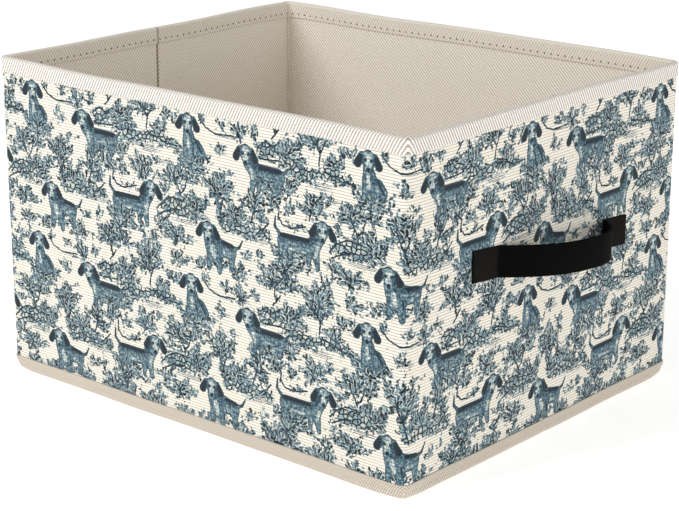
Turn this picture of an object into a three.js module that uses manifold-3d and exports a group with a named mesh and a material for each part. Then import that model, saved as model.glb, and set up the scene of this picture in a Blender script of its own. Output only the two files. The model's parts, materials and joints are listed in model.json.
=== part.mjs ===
// Collapsible fabric storage bin: six stiffened fabric wall panels around a sewn base, taped at the
// rim and at the foot, with a strap handle on each end and a hinged base board.
// Millimetres. The origin is the bottom centre, +Z is up, the long front wall faces -Y, and the two
// end walls, each made of two leaves with a crease between them, face +X and -X.
import * as THREE from 'three';
import { mergeVertices } from 'three/addons/utils/BufferGeometryUtils.js';
import ManifoldModule from 'manifold-3d';

const kernel = await ManifoldModule();
kernel.setup();

// Overall size, over the wall covers.
const length = 381;
const width = 312;
const height = 240;
const cornerRadius = 6;

// Layers of a wall, from the outside in.
const coverThickness = 0.8;
const boardThickness = 2.0;
const liningThickness = 0.6;
const wall = coverThickness + boardThickness + liningThickness;

// Tape folded over the rim, and the tape round the foot.
const tape = 0.8;
const rimTapeOutside = 11;
const rimTapeInside = 13;
const footTapeHeight = 10;

// Base: the sewn fabric, and the stiff board that lies on it, hinged along the front wall.
const baseFabric = 1.0;
const baseBoardThickness = 2.5;
const baseBoardSkin = 0.6;
const baseBoardSideRoom = 1.5;
const flipRoom = 0.4;
const pullTabLength = 34;
const pullTabWidth = 30;
const pullTabThickness = 1.0;
const pullTabInset = 4;

// Room at the fold lines. The corner hinges stand inside the walls by cornerRoom, so that a raised
// base board fits between a folded leaf and the front wall. A hingeSlit parts the panels at each
// fold, and the moving walls pass over the base board by passRoom.
const cornerRoom = 3.0;
const hingeSlit = 0.3;
const passRoom = 2.5;

// Strap handle: a flat band whose two ends lie on the cover and whose middle arches outward. The
// arch peaks a little to the rear of the crease and is fuller there.
const strapHeight = 22;
const strapThickness = 2.0;
const strapTab = 27;
const strapOpening = 124;
const strapBow = 26;
const strapPeak = 6;
const strapFrontFullness = 2.2;
const strapRearFullness = 3;
const strapCentreHeight = 135;
const strapDrop = 7;
const strapSteps = 28;

// Places that follow from the sizes above.
const halfLength = length / 2;
const halfWidth = width / 2;
const wallTop = height - tape;
const frontOuter = -halfWidth;
const frontInner = frontOuter + wall;
const cornerHingeY = frontInner + cornerRoom;
const leafStart = cornerHingeY + hingeSlit / 2;
const leafEnd = -hingeSlit / 2;
const baseBoardTop = baseFabric + baseBoardThickness + baseBoardSkin;
const movingFoot = baseBoardTop + pullTabThickness + passRoom;
const boardHingeY = frontInner + tape + flipRoom;
// The cover turns each corner before it reaches the hinge.
const bendRadius = Math.min(cornerRadius, wall + cornerRoom - hingeSlit);

const finishes = {
  cover: { color: 0xefe9da, roughness: 0.92 },
  lining: { color: 0xcdbfac, roughness: 0.9 },
  tape: { color: 0xd9d0c4, roughness: 0.88 },
  stiffener: { color: 0x9c8567, roughness: 0.95 },
  strap: { color: 0x161512, roughness: 0.7 },
};

function makeMesh(name, geometry, finish) {
  const { color, roughness } = finishes[finish];
  const material = new THREE.MeshStandardMaterial({ color, roughness, metalness: 0 });
  const mesh = new THREE.Mesh(geometry, material);
  mesh.name = name;
  return mesh;
}

// A box between two corners.
function slab(x0, x1, y0, y1, z0, z1) {
  const box = new THREE.BoxGeometry(x1 - x0, y1 - y0, z1 - z0);
  return box.translate((x0 + x1) / 2, (y0 + y1) / 2, (z0 + z1) / 2);
}

// A plan outline raised from z0 to z1.
function prism(shape, z0, z1) {
  const options = { depth: z1 - z0, bevelEnabled: false, curveSegments: 6 };
  return new THREE.ExtrudeGeometry(shape, options).translate(0, 0, z0);
}

// The same solid on the other side of the plane through the origin across one axis.
function mirrored(geometry, axis) {
  const flipped = geometry.clone();
  const signs = { x: [-1, 1, 1], y: [1, -1, 1] }[axis];
  flipped.scale(...signs);
  const welded = weld(flipped);
  const index = Array.from(welded.index.array);
  for (let i = 0; i < index.length; i += 3) {
    [index[i], index[i + 1]] = [index[i + 1], index[i]];
  }
  welded.setIndex(index);
  welded.computeVertexNormals();
  return welded;
}

function weld(geometry) {
  const bare = new THREE.BufferGeometry();
  bare.setAttribute('position', geometry.getAttribute('position').clone());
  if (geometry.index) {
    bare.setIndex(Array.from(geometry.index.array));
  }
  return mergeVertices(bare, 1e-4);
}

function toManifold(geometry) {
  const welded = weld(geometry);
  const mesh = new kernel.Mesh({
    numProp: 3,
    vertProperties: new Float32Array(welded.getAttribute('position').array),
    triVerts: new Uint32Array(welded.index.array),
  });
  return new kernel.Manifold(mesh);
}

function union(geometries) {
  const solid = kernel.Manifold.union(geometries.map(toManifold));
  const mesh = solid.getMesh();
  const joined = new THREE.BufferGeometry();
  joined.setAttribute('position', new THREE.BufferAttribute(mesh.vertProperties, mesh.numProp));
  joined.setIndex(new THREE.BufferAttribute(mesh.triVerts, 1));
  joined.computeVertexNormals();
  return joined;
}

// A ribbon of cloth seen from above: it lies along the front wall and turns both corners as far as
// the corner hinges. outset is how far its outer side stands outside the covers.
function wrappedRibbon(outset, thickness) {
  const end = cornerHingeY - hingeSlit / 2;
  const ribbon = new THREE.Shape();
  traceBend(ribbon, outset, end, false);
  traceBend(ribbon, outset - thickness, end, true);
  ribbon.closePath();
  return ribbon;
}

// One side of a wrapped ribbon, from the left end to the right end or back again.
function traceBend(path, outset, end, backwards) {
  const x = halfLength + outset;
  const y = frontOuter - outset;
  const radius = bendRadius + outset;
  const centreX = halfLength - bendRadius;
  const centreY = frontOuter + bendRadius;
  const corner = Math.PI / 2;
  if (backwards) {
    path.lineTo(x, end);
    path.absarc(centreX, centreY, radius, 0, -corner, true);
    path.lineTo(-centreX, y);
    path.absarc(-centreX, centreY, radius, -corner, -2 * corner, true);
    path.lineTo(-x, end);
  } else {
    path.moveTo(-x, end);
    path.absarc(-centreX, centreY, radius, 2 * corner, 3 * corner, false);
    path.lineTo(centreX, y);
    path.absarc(centreX, centreY, radius, -corner, 0, false);
    path.lineTo(x, end);
  }
}

// The top of the rim tape on the front wall, from above: it fills both corners.
function rimCapOutline() {
  const end = cornerHingeY - hingeSlit / 2;
  const inside = halfLength - wall - tape;
  const cap = new THREE.Shape();
  traceBend(cap, tape, end, false);
  cap.lineTo(inside, end);
  cap.lineTo(inside, frontInner + tape);
  cap.lineTo(-inside, frontInner + tape);
  cap.lineTo(-inside, end);
  cap.closePath();
  return cap;
}

// The layers of the front wall, which stands on the base fabric, or of the back wall, whose stiff
// layers start higher so that they pass over the base board.
function longWall(foot) {
  const inside = halfLength - wall;
  const boardHalf = halfLength - bendRadius;
  const boardOuter = frontOuter + coverThickness;
  const boardInner = boardOuter + boardThickness;
  const rimOuter = prism(wrappedRibbon(tape, tape), height - rimTapeOutside, height);
  const rimCap = prism(rimCapOutline(), wallTop, height);
  const rimInner = slab(
    -inside + tape, inside - tape, frontInner, frontInner + tape, height - rimTapeInside, height,
  );
  const footTop = baseFabric + footTapeHeight;
  return {
    cover: prism(wrappedRibbon(0, coverThickness), foot, wallTop),
    board: slab(-boardHalf, boardHalf, boardOuter, boardInner, foot, wallTop),
    lining: slab(-inside, inside, boardInner, frontInner, foot, wallTop),
    rim_tape: union([rimOuter, rimCap, rimInner]),
    foot_tape: prism(wrappedRibbon(tape, tape), baseFabric, footTop),
  };
}

// The layers of the leaf between the front right corner and the crease of the right end wall.
function endLeaf() {
  const coverInner = halfLength - coverThickness;
  const boardInner = coverInner - boardThickness;
  const inner = halfLength - wall;
  const layer = (x0, x1) => slab(x0, x1, leafStart, leafEnd, movingFoot, wallTop);
  const rimProfile = new THREE.Shape([
    new THREE.Vector2(inner - tape, height - rimTapeInside),
    new THREE.Vector2(inner, height - rimTapeInside),
    new THREE.Vector2(inner, wallTop),
    new THREE.Vector2(halfLength, wallTop),
    new THREE.Vector2(halfLength, height - rimTapeOutside),
    new THREE.Vector2(halfLength + tape, height - rimTapeOutside),
    new THREE.Vector2(halfLength + tape, height),
    new THREE.Vector2(inner - tape, height),
  ]);
  const rim = prism(rimProfile, -leafEnd, -leafStart).rotateX(Math.PI / 2);
  const footTop = baseFabric + footTapeHeight;
  return {
    cover: layer(coverInner, halfLength),
    board: layer(boardInner, coverInner),
    lining: layer(inner, boardInner),
    rim_tape: rim,
    foot_tape: slab(halfLength, halfLength + tape, leafStart, leafEnd, baseFabric, footTop),
  };
}

const layerFinish = {
  cover: 'cover',
  board: 'stiffener',
  lining: 'lining',
  rim_tape: 'tape',
  foot_tape: 'tape',
};

function wallMeshes(panel, layers, axes) {
  return Object.entries(layers).map(([layer, geometry]) => {
    const placed = axes.reduce((solid, axis) => mirrored(solid, axis), geometry);
    return makeMesh(`${panel}_${layer}`, placed, layerFinish[layer]);
  });
}

// The sewn bottom, which reaches under the foot tape on every side.
function baseFabricSolid() {
  const x = halfLength + tape;
  const y = halfWidth + tape;
  const radius = bendRadius + tape;
  const outline = new THREE.Shape();
  outline.absarc(x - radius, y - radius, radius, 0, Math.PI / 2, false);
  outline.absarc(radius - x, y - radius, radius, Math.PI / 2, Math.PI, false);
  outline.absarc(radius - x, radius - y, radius, Math.PI, 1.5 * Math.PI, false);
  outline.absarc(x - radius, radius - y, radius, 1.5 * Math.PI, 2 * Math.PI, false);
  outline.closePath();
  return prism(outline, 0, baseFabric);
}

// The stiff base board, its lining-covered skin turned down at the front and back edges, and the
// tab that lifts it.
function baseBoardMeshes() {
  const halfX = halfLength - wall - baseBoardSideRoom;
  const front = boardHingeY;
  const back = halfWidth - wall - baseBoardSideRoom;
  const coreTop = baseFabric + baseBoardThickness;
  const core = slab(
    -halfX, halfX, front + baseBoardSkin, back - baseBoardSkin, baseFabric, coreTop,
  );
  const skinProfile = new THREE.Shape([
    new THREE.Vector2(front, baseFabric),
    new THREE.Vector2(front + baseBoardSkin, baseFabric),
    new THREE.Vector2(front + baseBoardSkin, coreTop),
    new THREE.Vector2(back - baseBoardSkin, coreTop),
    new THREE.Vector2(back - baseBoardSkin, baseFabric),
    new THREE.Vector2(back, baseFabric),
    new THREE.Vector2(back, baseBoardTop),
    new THREE.Vector2(front, baseBoardTop),
  ]);
  const skin = prism(skinProfile, -halfX, halfX);
  skin.applyMatrix4(new THREE.Matrix4().makeBasis(
    new THREE.Vector3(0, 1, 0), new THREE.Vector3(0, 0, 1), new THREE.Vector3(1, 0, 0),
  ));
  const tabEnd = back - pullTabInset;
  const tab = slab(
    -pullTabWidth / 2, pullTabWidth / 2, tabEnd - pullTabLength, tabEnd,
    baseBoardTop, baseBoardTop + pullTabThickness,
  );
  return [
    makeMesh('base_board', core, 'stiffener'),
    makeMesh('base_board_skin', skin, 'lining'),
    makeMesh('base_pull_tab', tab, 'tape'),
  ];
}

// How far the inner face of the strap stands off the cover, at a distance y from the crease.
function strapStandOff(y) {
  const halfOpening = strapOpening / 2;
  if (Math.abs(y) >= halfOpening) {
    return 0;
  }
  const share = Math.abs(y - strapPeak) / (halfOpening + (y < strapPeak ? strapPeak : -strapPeak));
  const fullness = y < strapPeak ? strapFrontFullness : strapRearFullness;
  return strapBow * (1 - share ** fullness);
}

// The strap on the right end wall, level with its crease. It slopes: the rear end lies strapDrop
// lower than the middle, and the front end as much higher.
function strapSolid() {
  const halfOpening = strapOpening / 2;
  const reach = halfOpening + strapTab;
  const stations = [-reach];
  for (let i = 0; i <= strapSteps; i += 1) {
    stations.push(-halfOpening + (i * strapOpening) / strapSteps);
  }
  stations.push(reach);
  const step = strapOpening / strapSteps / 4;
  const side = (offset) => stations.map((y) => {
    const slope = (strapStandOff(y + step) - strapStandOff(y - step)) / (2 * step);
    const run = Math.hypot(1, slope);
    const standOff = strapStandOff(y) + offset / run;
    return new THREE.Vector2(halfLength + standOff, y - (offset * slope) / run);
  });
  const outline = [...side(strapThickness), ...side(0).reverse()];
  const strap = prism(new THREE.Shape(outline), -strapHeight / 2, strapHeight / 2);
  strap.rotateX(-Math.atan(strapDrop / reach));
  return strap.translate(0, 0, strapCentreHeight);
}

const bin = new THREE.Group();
bin.name = 'fabric_storage_bin';
bin.add(...wallMeshes('front', longWall(baseFabric), []));
bin.add(...wallMeshes('back', longWall(movingFoot), ['y']));
bin.add(...wallMeshes('right_front', endLeaf(), []));
bin.add(...wallMeshes('right_back', endLeaf(), ['y']));
bin.add(...wallMeshes('left_front', endLeaf(), ['x']));
bin.add(...wallMeshes('left_back', endLeaf(), ['x', 'y']));
bin.add(makeMesh('base_fabric', baseFabricSolid(), 'cover'));
bin.add(...baseBoardMeshes());
bin.add(makeMesh('right_handle_strap', strapSolid(), 'strap'));
bin.add(makeMesh('left_handle_strap', mirrored(strapSolid(), 'x'), 'strap'));

export default bin;
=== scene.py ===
"""Looks for the collapsible fabric storage bin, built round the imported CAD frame."""

import json
import math

import bmesh
import bpy
import numpy as np
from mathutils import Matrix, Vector


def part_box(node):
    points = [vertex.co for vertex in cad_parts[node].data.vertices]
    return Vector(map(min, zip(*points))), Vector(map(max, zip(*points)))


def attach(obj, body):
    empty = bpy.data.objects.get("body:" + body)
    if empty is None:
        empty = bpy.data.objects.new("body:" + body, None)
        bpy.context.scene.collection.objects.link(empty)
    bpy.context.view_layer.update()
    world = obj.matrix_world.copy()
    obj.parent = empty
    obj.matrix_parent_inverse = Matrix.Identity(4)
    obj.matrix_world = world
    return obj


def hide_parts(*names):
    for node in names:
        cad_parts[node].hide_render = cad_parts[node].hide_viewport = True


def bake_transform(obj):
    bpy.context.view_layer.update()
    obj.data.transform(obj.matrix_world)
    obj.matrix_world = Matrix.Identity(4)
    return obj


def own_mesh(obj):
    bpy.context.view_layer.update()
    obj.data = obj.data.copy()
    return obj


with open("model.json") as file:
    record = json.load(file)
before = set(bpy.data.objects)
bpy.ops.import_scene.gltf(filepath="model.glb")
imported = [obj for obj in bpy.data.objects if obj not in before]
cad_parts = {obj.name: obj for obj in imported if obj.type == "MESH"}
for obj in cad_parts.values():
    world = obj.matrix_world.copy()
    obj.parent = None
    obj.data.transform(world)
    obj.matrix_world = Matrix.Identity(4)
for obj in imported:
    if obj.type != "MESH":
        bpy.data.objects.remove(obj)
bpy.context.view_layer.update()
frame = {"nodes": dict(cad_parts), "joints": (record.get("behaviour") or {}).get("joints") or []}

MM = 0.001

# ---------------------------------------------------------------------------------------------
# Places, all from the frame
# ---------------------------------------------------------------------------------------------
HALF_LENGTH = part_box("front_cover")[1].x
HALF_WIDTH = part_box("back_cover")[1].y
CORNER = HALF_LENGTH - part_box("front_board")[1].x
WALL = HALF_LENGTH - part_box("right_front_lining")[0].x
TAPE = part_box("right_front_rim_tape")[1].x - HALF_LENGTH
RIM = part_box("front_rim_tape")[1].z
HEM_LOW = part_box("front_rim_tape")[0].z
FOOT_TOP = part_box("front_foot_tape")[1].z
COVER_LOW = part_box("back_cover")[0].z
BOARD_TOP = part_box("base_board_skin")[1].z
HINGE = {joint["name"]: Vector(joint["pos_m"]) for joint in frame["joints"]}
SEAM_Y = HINGE["right_back_corner"].y

RIM_OUTSIDE = 11 * MM      # depth of the rim tape on the outside
STITCH_DEPTH = 9.4 * MM    # the rim's stitch line, below the rim, on the inside
STITCH_PITCH = 6.4 * MM
STRAP_HEIGHT = 22 * MM
STRAP_THICK = 2 * MM
STRAP_OPEN = 62 * MM       # half the run between the strap's two sewn ends
STRAP_PEAK = 6 * MM        # where the strap stands out most, towards the back
STRAP_FREE = 71.0          # millimetres of strap from its middle to where it is sewn down
BASE_ROUND = 16 * MM       # corner radius of the sewn bottom
FOOT_REACH = 22 * MM       # how far the foot's rounder corner reaches along the walls
LINING_LOW = BOARD_TOP + 1.3 * MM
FOOT_SPLIT = BOARD_TOP + 1.2 * MM


# ---------------------------------------------------------------------------------------------
# The line round the bin
# ---------------------------------------------------------------------------------------------
def spread(start, stop, step, fine=()):
    """Distances from start to stop about step apart, with the fine ones added."""
    count = 2 * max(1, round((stop - start) / step / 2))
    even = np.linspace(start, stop, count + 1)
    return np.unique(np.round(np.concatenate([even, np.array(fine, float)]), 7))


class Ring:
    """Stations round the bin, from the seam on the left wall by the back corner, past the left,
    front, right and back walls to the seam again. A point at some outset from the cover's outer
    face is at line + normal * outset."""

    def __init__(self, step, arc_steps):
        x, y, r = HALF_LENGTH, HALF_WIDTH, CORNER
        near = np.array([0, 0.5, 1, 1.5, 2, 2.6, 3.3, 4.2, 6]) * MM
        crease = np.concatenate([-near, near])
        points, normals = [], []

        def straight(a, b, normal, fine=()):
            a, b = np.array(a), np.array(b)
            length = np.linalg.norm(b - a)
            for t in spread(0, length, step, fine):
                points.append(a + (b - a) * t / length)
                normals.append(normal)

        def arc(cx, cy, start):
            for k in range(1, arc_steps):
                turn = start + math.pi / 2 * k / arc_steps
                normal = (math.cos(turn), math.sin(turn))
                points.append(np.array([cx + r * normal[0], cy + r * normal[1]]))
                normals.append(normal)

        def round_crease(start, stop):
            middle = abs(start)
            return [middle + d for d in crease if 0 < middle + d < abs(stop - start)]

        straight((-x, SEAM_Y), (-x, r - y), (-1, 0), round_crease(SEAM_Y, r - y))
        arc(r - x, r - y, math.pi)
        straight((r - x, -y), (x - r, -y), (0, -1))
        arc(x - r, r - y, 1.5 * math.pi)
        straight((x, r - y), (x, y - r), (1, 0), round_crease(r - y, y - r))
        arc(x - r, y - r, 0)
        straight((x - r, y), (r - x, y), (0, 1))
        arc(r - x, y - r, 0.5 * math.pi)
        straight((-x, y - r), (-x, SEAM_Y), (-1, 0))
        self.line = np.array(points)
        self.normal = np.array(normals, float)
        run = np.linalg.norm(np.diff(self.line, axis=0), axis=1)
        self.along = np.concatenate([[0], np.cumsum(run)])
        self.zigzag = self._zigzag()

    def _zigzag(self):
        """Distance along the bin that turns back at each corner, so that a slanted weave leans
        the other way on the next wall."""
        nx, ny = self.normal.T
        sign = np.where(np.abs(ny) > np.abs(nx), 1.0, -1.0)
        run = np.diff(self.along) * (sign[1:] + sign[:-1]) / 2
        return np.concatenate([[0], np.cumsum(run)])


def on_left(line):
    return line[:, 0] < -HALF_LENGTH + CORNER


def on_right(line):
    return line[:, 0] > HALF_LENGTH - CORNER


# Each stretch of cloth between two cuts: its name, where it lies, and the bodies whose cloth it
# stands for.
LEAF_MIDDLE = SEAM_Y / 2


def stretches(ring):
    """{name: station numbers} in order round the bin."""
    x, y = ring.line.T
    left, right = on_left(ring.line), on_right(ring.line)
    order = np.arange(len(x))
    tiny = 1e-6

    def nearest(mask, values, target):
        found = order[mask]
        return found[np.argmin(np.abs(values[found] - target))]

    first_left = left & (order < len(x) // 3)
    cuts = [
        0,
        nearest(first_left, y, LEAF_MIDDLE),
        nearest(first_left, y, -LEAF_MIDDLE),
        nearest(y < -HALF_WIDTH + tiny, x, 0),
        nearest(right, y, -LEAF_MIDDLE),
        nearest(right, y, LEAF_MIDDLE),
        nearest(y > HALF_WIDTH - tiny, x, 0),
        len(x) - 1,
    ]
    names = ["seam_left", "left_crease", "left_corner", "right_corner", "right_crease",
             "back_corner", "seam_back"]
    return {n: np.arange(a, b + 1) for n, a, b in zip(names, cuts[:-1], cuts[1:])}


def follow(piece, name):
    """Makes a stretch of cloth at the seam follow its body; the other stretches stay where they
    lie.
    """
    if name == "seam_left":
        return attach(piece, "left_back")
    if name == "seam_back":
        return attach(piece, "back")
    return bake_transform(piece)


STANDS_FOR = {
    "seam_left": ["left_back"],
    "left_crease": ["left_front"],
    "left_corner": [],
    "right_corner": ["front"],
    "right_crease": ["right_front"],
    "back_corner": ["right_back"],
    "seam_back": ["back"],
}


# ---------------------------------------------------------------------------------------------
# How the stiffened cloth gives: added to every layer alike, so the layers stay apart
# ---------------------------------------------------------------------------------------------
def swell(ring, z):
    """How far the cloth stands out from flat, in metres, for stations by heights."""
    s = ring.along[:, None]
    h = (z / RIM)[None, :]
    corner = np.clip(corner_distance(ring)[:, None] / (45 * MM), 0, 1)
    firm = corner * corner * (3 - 2 * corner)
    waves = 0.28 * np.sin(s / (31 * MM) + 2.1 * h) + 0.22 * np.sin(s / (17 * MM) - 3.3 * h + 1)
    waves = waves + 0.5 * h
    belly = 0.55 * np.sin(math.pi * np.clip(h, 0, 1)) ** 2
    crease = crease_distance(ring)[:, None]
    valley = -0.45 * np.exp(-((crease / (2.2 * MM)) ** 2)) - 0.25 * np.exp(-crease / (14 * MM))
    return ((waves + belly) * firm + valley) * MM


def corner_distance(ring):
    x, y = np.abs(ring.line).T
    return np.minimum(np.hypot(HALF_LENGTH - x, HALF_WIDTH - y), 1)


def crease_distance(ring):
    x, y = ring.line.T
    on_end = np.abs(ring.normal[:, 0]) > 0.99
    return np.where(on_end, np.abs(y), 1.0)


def rim_wave(ring):
    """The rim isn't quite level: how far it dips, in metres."""
    s = ring.along
    return (0.35 * np.sin(s / (43 * MM) + 0.6) + 0.25 * np.sin(s / (23 * MM)) - 0.5) * MM


def place(ring, stations, outset, z):
    """Points of a surface at a given outset (stations x heights) and height."""
    outset, z = np.broadcast_arrays(outset, z)
    give = swell(ring, z[0])[stations]
    out = outset + give
    line, normal = ring.line[stations], ring.normal[stations]
    dip = rim_wave(ring)[stations][:, None] * np.clip(z / RIM, 0, 1) ** 3
    flat = line[:, None, :] + normal[:, None, :] * out[:, :, None]
    return np.concatenate([flat, (z + dip)[:, :, None]], axis=2)


# ---------------------------------------------------------------------------------------------
# Meshes
# ---------------------------------------------------------------------------------------------
def make_object(name, points, quads, material, uv=None, attributes=None):
    mesh = bpy.data.meshes.new(name)
    mesh.vertices.add(len(points))
    mesh.vertices.foreach_set("co", points.astype(np.float32).ravel())
    mesh.loops.add(quads.size)
    mesh.loops.foreach_set("vertex_index", quads.astype(np.int32).ravel())
    mesh.polygons.add(len(quads))
    mesh.polygons.foreach_set("loop_start", np.arange(len(quads), dtype=np.int32) * 4)
    mesh.update(calc_edges=True)
    if uv is not None:
        layer = mesh.uv_layers.new(name="UVMap")
        layer.data.foreach_set("uv", uv[quads.ravel()].astype(np.float32).ravel())
    for key, values in (attributes or {}).items():
        layer = mesh.attributes.new(key, "FLOAT_VECTOR", "POINT")
        layer.data.foreach_set("vector", values.astype(np.float32).ravel())
    mesh.polygons.foreach_set("use_smooth", np.full(len(quads), True))
    mesh.validate()
    piece = bpy.data.objects.new(name, mesh)
    bpy.context.scene.collection.objects.link(piece)
    mesh.materials.append(material)
    return piece


def grid_quads(rows, columns, wrap=False):
    """Quads of a grid of rows x columns points, closed across the columns if wrap is set."""
    r = np.arange(rows - 1)[:, None]
    c = np.arange(columns if wrap else columns - 1)[None, :]
    n = (c + 1) % columns
    quads = np.stack([r * columns + c, (r + 1) * columns + c, (r + 1) * columns + n,
                      r * columns + n], axis=-1)
    return quads.reshape(-1, 4)


def loft(name, points, material, uv, attributes=None, wrap=False, outward=True):
    rows, columns = points.shape[:2]
    quads = grid_quads(rows, columns, wrap)
    if not outward:
        quads = quads[:, ::-1]
    flat = {k: v.reshape(-1, 3) for k, v in (attributes or {}).items()}
    return make_object(name, points.reshape(-1, 3), quads, material, uv.reshape(-1, 2), flat)


def as_vector(values):
    """A number at each point, as the first part of a vector."""
    return np.stack([values, values * 0, values * 0], axis=-1)


def thicken(piece, thickness, offset):
    solid = piece.modifiers.new("thickness", "SOLIDIFY")
    solid.thickness = thickness
    solid.offset = offset
    solid.use_rim = False


# ---------------------------------------------------------------------------------------------
# Shader helper
# ---------------------------------------------------------------------------------------------
class Shader:
    """A material's node tree, with short calls for the nodes that the cloths share."""

    def __init__(self, name):
        self.material = bpy.data.materials.new(name)
        self.material.use_nodes = True
        self.tree = self.material.node_tree
        self.surface = self.tree.nodes["Principled BSDF"]

    def node(self, kind, inputs=(), **settings):
        made = self.tree.nodes.new(kind)
        for key, value in settings.items():
            setattr(made, key, value)
        for socket, value in dict(inputs).items():
            self.feed(made.inputs[socket], value)
        return made

    def feed(self, socket, value):
        if isinstance(value, bpy.types.NodeSocket):
            self.tree.links.new(value, socket)
        else:
            socket.default_value = value

    def math(self, operation, a, b=0.0, c=0.0, clamp=False):
        made = self.node("ShaderNodeMath", {0: a, 1: b, 2: c}, operation=operation,
                         use_clamp=clamp)
        return made.outputs[0]

    def muladd(self, a, b, c, clamp=False):
        return self.math("MULTIPLY_ADD", a, b, c, clamp=clamp)

    def times(self, a, b, clamp=False):
        return self.math("MULTIPLY", a, b, clamp=clamp)

    def plus(self, a, b, clamp=False):
        return self.math("ADD", a, b, clamp=clamp)

    def minus(self, a, b, clamp=False):
        return self.math("SUBTRACT", a, b, clamp=clamp)

    def over(self, a, b, clamp=False):
        return self.math("DIVIDE", a, b, clamp=clamp)

    def most(self, a, b, clamp=False):
        return self.math("MAXIMUM", a, b, clamp=clamp)

    def absolute(self, a, clamp=False):
        return self.math("ABSOLUTE", a, clamp=clamp)

    def sine(self, a, clamp=False):
        return self.math("SINE", a, clamp=clamp)

    def fract(self, a, clamp=False):
        return self.math("FRACT", a, clamp=clamp)

    def vector(self, operation, a, b=(0, 0, 0)):
        made = self.node("ShaderNodeVectorMath", {0: a, 1: b}, operation=operation)
        return made.outputs["Value" if operation in ("DOT_PRODUCT", "LENGTH") else "Vector"]

    def split(self, vector):
        return self.node("ShaderNodeSeparateXYZ", {0: vector}).outputs

    def join(self, x, y, z=0.0):
        return self.node("ShaderNodeCombineXYZ", {0: x, 1: y, 2: z}).outputs[0]

    def step(self, value, low, high):
        """0 below low and 1 above high, smoothly. Low may be the larger."""
        made = self.node("ShaderNodeMapRange", {0: value, 1: low, 2: high},
                         interpolation_type="SMOOTHSTEP")
        return made.outputs[0]

    def noise(self, vector, scale, detail=2.0):
        made = self.node("ShaderNodeTexNoise", {"Vector": vector, "Scale": scale,
                                                "Detail": detail},
                         noise_dimensions="3D")
        return made.outputs[0]

    def mix(self, factor, a, b, blend="MIX"):
        made = self.node("ShaderNodeMix", data_type="RGBA", blend_type=blend)
        self.feed(made.inputs["Factor"], factor)
        self.feed(made.inputs[6], a)
        self.feed(made.inputs[7], b)
        return made.outputs[2]

    def ramp(self, value, stops):
        made = self.node("ShaderNodeValToRGB", {0: value})
        elements = made.color_ramp.elements
        while len(elements) < len(stops):
            elements.new(0.5)
        for element, (position, color) in zip(elements, stops):
            element.position = position
            element.color = color
        return made.outputs[0]

    def attribute(self, name):
        return self.node("ShaderNodeAttribute", attribute_name=name).outputs["Vector"]

    def uv_mm(self):
        """The piece's UV map, which is in metres, in millimetres."""
        uv = self.node("ShaderNodeTexCoord").outputs["UV"]
        return self.vector("MULTIPLY", uv, (1000, 1000, 1000))

    def object_mm(self):
        """The piece's own place, in millimetres."""
        place = self.node("ShaderNodeTexCoord").outputs["Object"]
        return self.vector("MULTIPLY", place, (1000, 1000, 1000))

    def bump(self, height, distance):
        made = self.node("ShaderNodeBump", {"Height": height, "Distance": distance,
                                            "Strength": 1.0})
        self.feed(self.surface.inputs["Normal"], made.outputs[0])

    def finish(self, color, roughness, sheen=0.0, specular=0.3):
        self.feed(self.surface.inputs["Base Color"], color)
        self.feed(self.surface.inputs["Roughness"], roughness)
        self.surface.inputs["Sheen Weight"].default_value = sheen
        self.surface.inputs["Sheen Roughness"].default_value = 0.5
        self.surface.inputs["Specular IOR Level"].default_value = specular
        return self.material


def rgb(red, green, blue):
    """A colour given in sRGB 0-255, as linear RGBA."""
    def linear(v):
        v /= 255
        return v / 12.92 if v <= 0.04045 else ((v + 0.055) / 1.055) ** 2.4
    return (linear(red), linear(green), linear(blue), 1.0)


# ---------------------------------------------------------------------------------------------
# The toile print: a repeat of dogs, trees, rocks and ground, drawn as distance fields
# ---------------------------------------------------------------------------------------------
TILE_U, TILE_V = 157.0, 112.5     # millimetres; u runs round the bin, v down from the rim


def wrapped(value, period):
    return (value + period / 2) % period - period / 2


def capsule(u, v, x0, y0, x1, y1, r0, r1):
    """Signed distance to a limb that tapers from r0 to r1."""
    dx, dy = x1 - x0, y1 - y0
    px, py = wrapped(u - x0, TILE_U), wrapped(v - y0, TILE_V)
    t = np.clip((px * dx + py * dy) / max(dx * dx + dy * dy, 1e-6), 0, 1)
    return np.hypot(px - t * dx, py - t * dy) - (r0 + (r1 - r0) * t)


def soft_min(a, b, k):
    h = np.clip(0.5 + 0.5 * (b - a) / k, 0, 1)
    return b + (a - b) * h - k * h * (1 - h)


# Generic hounds. Each limb: x0, y0, x1, y1, r0, r1 in millimetres from the dog's own origin, with
# y down; then the dark parts (ears, brow, nose, eyes, back) and the light ones (muzzle, chest).
HEAD = [(0, -2.8, 0, 0.4, 4.9, 4.2), (0, 1, 0, 5.0, 3.4, 2.4),
        (-5.6, -3.6, -8.6, 2.0, 2.3, 3.1), (5.6, -3.6, 8.6, 2.0, 2.3, 3.1)]
HEAD_DARK = [(-6.4, -2.6, -8.7, 2.1, 1.9, 2.7), (6.4, -2.6, 8.7, 2.1, 1.9, 2.7),
             (0, 5.2, 0.1, 5.4, 1.7, 1.5), (-2.5, -1.0, -2.4, -0.9, 1.25, 1.2),
             (2.5, -1.0, 2.4, -0.9, 1.25, 1.2), (-2.6, -7.4, 2.6, -7.4, 0.9, 0.9)]
HEAD_LIGHT = [(0, -5.2, 0, 3.6, 3.0, 2.4)]
SEATED = (
    HEAD + [(0, 5, 1, 9, 4.2, 5.0), (1, 9, 3, 16, 5.2, 6.4), (8, 14, 10.5, 18, 4.6, 5.2),
            (-2, 12, -3, 24, 3.0, 2.0), (4, 13, 4, 24, 3.0, 2.0)],
    HEAD_DARK + [(7, 10, 13, 19, 0.9, 1.0), (4.6, 15, 5, 23, 0.6, 0.5)],
    HEAD_LIGHT + [(0, 9, 0.6, 16, 1.3, 1.6)],
)
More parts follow.
